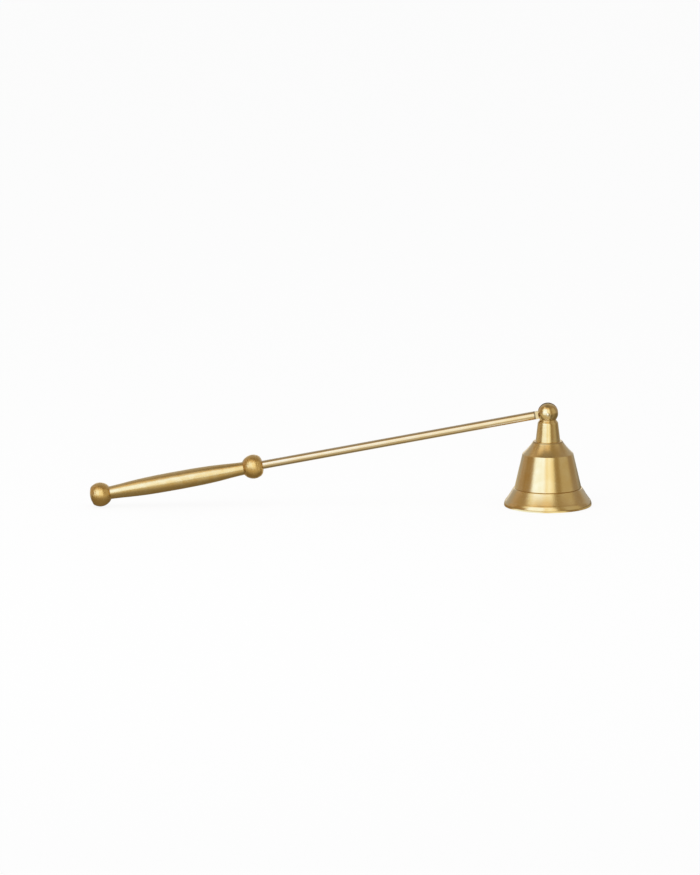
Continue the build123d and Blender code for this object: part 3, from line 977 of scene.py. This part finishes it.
class SNUFFER_OT_stage(bpy.types.Operator):
    """Set up the floor, the light tent, the lamp, the room and the camera"""

    bl_idname = "snuffer.stage"
    bl_label = "Stage"

    # Azimuth and elevation of the lamp, in degrees
    LAMP_BEARING = (-30, 62)
    FLOOR_PAINT = (0.9, 0.9, 0.9)
    WHITE = (1.0, 1.0, 1.0)

    # What doesn't see the painted tent and table, so that they show only in the brass
    HIDDEN_RAYS = ("camera", "diffuse", "transmission", "volume_scatter", "shadow")

    # The inside of the light tent, painted in this order: azimuths, elevations and softness in degrees, and
    # linear colour
    TENT_AZIMUTHS = range(-180, 180, 2)
    TENT_ELEVATIONS = range(-14, 90, 2)
    TENT_TONE = (0.42, 0.36, 0.28)
    TENT_PANELS = {
        "left_rear_scrim": ((-132, -106), (-14, 60), 5, (0.52, 0.44, 0.38)),
        "left_flag": ((-104, -70), (-14, 60), 5, (0.38, 0.29, 0.18)),
        "high_left_flag": ((-118, -86), (30, 52), 4, (0.36, 0.28, 0.17)),
        "right_flag": ((26, 52), (-14, 76), 5, (0.35, 0.29, 0.17)),
        "right_scrim": ((50, 95), (-14, 44), 6, (0.53, 0.51, 0.42)),
        "high_right_flag": ((44, 98), (54, 76), 6, (0.32, 0.26, 0.15)),
        "low_left_flag": ((-126, -63), (-14, 4), 4, (0.30, 0.25, 0.19)),
        "low_right_flag": ((44, 68), (-14, 4), 4, (0.37, 0.30, 0.21)),
        "right_rear_flag": ((97, 125), (-14, 60), 5, (0.34, 0.30, 0.26)),
        "rear_scrim": ((128, 228), (-14, 60), 6, (0.44, 0.46, 0.52)),
        "rear_softbox": ((160, 200), (-14, 20), 4, (0.95, 1.00, 1.05)),
        "high_left_softbox": ((-76, -48), (26, 54), 5, (1.00, 1.10, 1.12)),
        "front_softbox": ((-60, 27), (-14, 56), 5, (1.08, 1.14, 1.08)),
        "key_softbox": ((-57, -9), (5, 50), 6, (1.20, 1.62, 2.7)),
        "fill_softbox": ((2, 14), (-14, 50), 4, (1.18, 1.40, 1.70)),
        "left_seam": ((-29, -25), (-14, 55), 3, (1.10, 1.45, 2.2)),
        "upper_left_scrim": ((-90, -36), (56, 69), 4, (0.98, 0.86, 0.68)),
        "upper_scrim": ((-25, 24), (57, 69), 4, (0.94, 0.76, 0.49)),
        "overhead_flag": ((-180, 180), (71, 91), 3, (0.26, 0.23, 0.18)),
    }

    # The painted table, a painted reflection of the floor: a painted shadow below the handle, painted half
    # shade beside it, and a painted sheen like the tent's further out and close to the bell.
    # Passages have a middle and a half width, in metres from the handle's line or from the bell's axis.
    TABLE_AZIMUTHS = range(-180, 180, 3)
    TABLE_LEAST_REACH = 4 * MM
    TABLE_SHRINK = 0.9
    TABLE_PAINTED_SHADOW = (0.20, 0.17, 0.11)
    TABLE_PAINTED_HALF_SHADE = (0.60, 0.56, 0.43)
    TABLE_SHEEN = (0.90, 0.88, 0.80)
    SHEEN_ELEVATION = 10
    SHADOW_PASSAGE = (0.021, 0.021)
    FAR_PASSAGE = (0.21, 0.11)
    BELL_PASSAGE = (0.033, 0.004)

    def execute(self, context):
        s = context.scene.snuffer_stage
        low, high = CAD_BOX
        self.middle = (low + high) / 2
        self.middle.z = low.z
        self.make_floor(s, low.z)
        self.make_tent(s)
        self.make_table(s, low.z)
        self.make_lamp(s)
        self.make_room(context, s)
        self.make_camera(context, s)
        context.scene.view_settings.view_transform = "Standard"
        return {"FINISHED"}

    def make_floor(self, s, ground):
        """A pale floor that shows as white and keeps a soft shadow."""
        half = s.floor_size / 2
        corners = [(-half, -half, 0), (half, -half, 0), (half, half, 0), (-half, half, 0)]
        mesh = bpy.data.meshes.new("floor")
        mesh.from_pydata(corners, [], [(0, 1, 2, 3)])
        floor = link_new("floor", mesh)
        floor.location = (self.middle.x, self.middle.y, ground - s.floor_gap)
        material = bpy.data.materials.new("floor_white")
        tree = ShaderTree(material)
        shown = tree.shown_ray() * s.floor_white
        paint = tree.node("ShaderNodeBsdfDiffuse", {}, {"Color": self.FLOOR_PAINT})
        white = tree.node("ShaderNodeEmission", {}, {"Color": self.WHITE, "Strength": 1.0})
        top = tree.node("ShaderNodeMixShader", {}, {0: shown, 1: paint, 2: white})
        clear = tree.node("ShaderNodeBsdfTransparent")
        under = tree.node("ShaderNodeNewGeometry", output="Backfacing")
        tree.surface(tree.node("ShaderNodeMixShader", {}, {0: under, 1: top, 2: clear}))
        mesh.materials.append(material)

    def tent_colour(self, azimuth, elevation):
        """What the tent shows towards a bearing in degrees."""
        shown = np.array(self.TENT_TONE)
        for azimuths, elevations, softness, rgb in self.TENT_PANELS.values():
            aside = (azimuth - sum(azimuths) / 2 + 180) % 360 - 180
            across = (azimuths[1] - azimuths[0]) / 2 - abs(aside)
            up = (elevations[1] - elevations[0]) / 2 - abs(elevation - sum(elevations) / 2)
            cover = soft_step(across, 0, softness) * soft_step(up, 0, softness)
            shown = shown * (1 - cover) + np.array(rgb) * cover
        return shown

    def make_tent(self, s):
        """A dome of soft panels that only the brass sees."""
        rings = []
        glow = []
        for elevation in self.TENT_ELEVATIONS:
            rings.append([self.middle + bearing(a, elevation) * s.tent_radius for a in self.TENT_AZIMUTHS])
            glow.extend(self.tent_colour(a, elevation) for a in self.TENT_AZIMUTHS)
        self.make_painted("light_tent", rings, glow)

    def make_table(self, s, ground):
        """The table as the brass sees it: painted shadow close by, painted sheen like the tent further out.
        """
        shadow_tone, half_shade_tone = np.array(self.TABLE_PAINTED_SHADOW), np.array(self.TABLE_PAINTED_HALF_SHADE)
        sheens = [self.tent_colour(a, self.SHEEN_ELEVATION) * self.TABLE_SHEEN for a in self.TABLE_AZIMUTHS]
        rings = []
        glow = []
        reach = s.tent_radius
        while reach > self.TABLE_LEAST_REACH:
            ring = [bearing(a, 0) * reach for a in self.TABLE_AZIMUTHS]
            bell_side_sheen = 1 - soft_step(reach, *self.BELL_PASSAGE)
            for sheen, place in zip(sheens, ring):
                # Painted shadow under the handle's line and painted half shade beside it, darker on the
                # bell's side where the tent is dark; further out and close to the bell, a painted sheen of
                # the tent.
                out_of_shadow = soft_step(abs(place.y), *self.SHADOW_PASSAGE)
                far = soft_step(abs(place.y), *self.FAR_PASSAGE)
                dim = min(1.0, sheen[0]) if place.x > 0 else 1.0
                tone = shadow_tone * (1 - out_of_shadow) + half_shade_tone * out_of_shadow * dim
                shine = max(far, bell_side_sheen)
                glow.append(tone * (1 - shine) + sheen * shine)
                place.z = ground - s.floor_gap / 2
            rings.append(ring)
            reach *= self.TABLE_SHRINK
        self.make_painted("table_sheen", rings, glow)

    def make_painted(self, name, rings, glow):
        """A stage mesh of closed rings that glows in its painted colours, and that only the brass sees."""
        around = len(rings[0])
        faces = []
        for i in range(len(rings) - 1):
            for j in range(around):
                k = (j + 1) % around
                faces.append((i * around + j, i * around + k, (i + 1) * around + k, (i + 1) * around + j))
        count = around * len(rings)
        faces.append(range(count - around, count))
        mesh = bpy.data.meshes.new(name)
        mesh.from_pydata([point for ring in rings for point in ring], [], faces)
        attribute = mesh.attributes.new("glow", "FLOAT_COLOR", "POINT")
        attribute.data.foreach_set("color", [channel for rgb in glow for channel in (*rgb, 1.0)])
        material = bpy.data.materials.new(name)
        tree = ShaderTree(material)
        shown = tree.node("ShaderNodeAttribute", {"attribute_name": "glow"}, output="Color")
        tree.surface(tree.node("ShaderNodeEmission", {}, {"Color": shown, "Strength": 1.0}))
        material.cycles.emission_sampling = "NONE"
        mesh.materials.append(material)
        painted = link_new(name, mesh)
        for ray in self.HIDDEN_RAYS:
            setattr(painted, "visible_" + ray, False)

    def make_lamp(self, s):
        """The soft lamp that casts the snuffer's shadow on the floor."""
        lamp = bpy.data.lights.new("key_lamp", "AREA")
        lamp.shape = "DISK"
        lamp.size = s.lamp_size
        lamp.energy = s.lamp_level * math.pi * s.lamp_size**2
        key = link_new("key_lamp", lamp)
        towards = bearing(*self.LAMP_BEARING)
        key.location = self.middle + towards * s.lamp_distance
        key.rotation_euler = towards.to_track_quat("Z", "Y").to_euler()
        key.visible_camera = False
        key.visible_glossy = False

    def make_room(self, context, s):
        """A white background, and a plain light for surfaces that don't shine."""
        world = bpy.data.worlds.new("room")
        context.scene.world = world
        tree = ShaderTree(world)
        plain = tree.node("ShaderNodeBackground", {}, {"Color": self.WHITE, "Strength": s.room_level})
        white = tree.node("ShaderNodeBackground", {}, {"Color": self.WHITE, "Strength": 1.0})
        mixed = tree.node("ShaderNodeMixShader", {}, {0: tree.shown_ray(), 1: plain, 2: white})
        tree.surface(mixed, "ShaderNodeOutputWorld")

    def make_camera(self, context, s):
        """A long lens that frames the snuffer as the picture does."""
        lens = bpy.data.cameras.new("camera")
        lens.lens = s.view_distance / s.pixel_size * lens.sensor_width / s.image_height
        lens.clip_end = s.view_distance * 2
        camera = link_new("camera", lens)
        back = bearing(math.degrees(s.view_azimuth), math.degrees(s.view_elevation))
        right = Vector((math.cos(s.view_azimuth), math.sin(s.view_azimuth), 0))
        up = back.cross(right)
        across = (s.image_width / 2 - s.bell_pixel_x) * s.pixel_size
        down = (s.image_height / 2 - s.bell_pixel_y) * s.pixel_size
        aim = right * across - up * down
        camera.location = aim + back * s.view_distance
        camera.rotation_euler = back.to_track_quat("Z", "Y").to_euler()
        context.scene.camera = camera


BUILD_STEPS = (
    SNUFFER_OT_bell,
    SNUFFER_OT_hinge,
    SNUFFER_OT_rod,
    SNUFFER_OT_knobs,
    SNUFFER_OT_grip,
    SNUFFER_OT_fasteners,
    SNUFFER_OT_stage,
)


class SNUFFER_PT_build(bpy.types.Panel):
    """Lists the build steps and the sizes and colours that they use"""

    bl_idname = "SNUFFER_PT_build"
    bl_label = "Candle Snuffer"
    bl_space_type = "VIEW_3D"
    bl_region_type = "UI"
    bl_category = "Snuffer"

    def draw(self, context):
        for step in BUILD_STEPS:
            self.layout.operator(step.bl_idname)
        for group in PROPERTY_GROUPS:
            values = getattr(context.scene, group)
            box = self.layout.box()
            for key in values.bl_rna.properties.keys():
                if key not in ("rna_type", "name"):
                    box.prop(values, key)


CLASSES = (*PROPERTY_GROUPS.values(), *BUILD_STEPS, SNUFFER_PT_build)


def register():
    for cls in CLASSES:
        bpy.utils.register_class(cls)
    for name, group in PROPERTY_GROUPS.items():
        setattr(bpy.types.Scene, name, bpy.props.PointerProperty(type=group))


def unregister():
    for name in PROPERTY_GROUPS:
        delattr(bpy.types.Scene, name)
    for cls in reversed(CLASSES):
        bpy.utils.unregister_class(cls)


def main():
    register()
    bpy.ops.snuffer.bell()
    bpy.ops.snuffer.hinge()
    bpy.ops.snuffer.rod()
    bpy.ops.snuffer.knobs()
    bpy.ops.snuffer.grip()
    bpy.ops.snuffer.fasteners()
    bpy.ops.snuffer.stage()


if __name__ == "__main__":
    main()
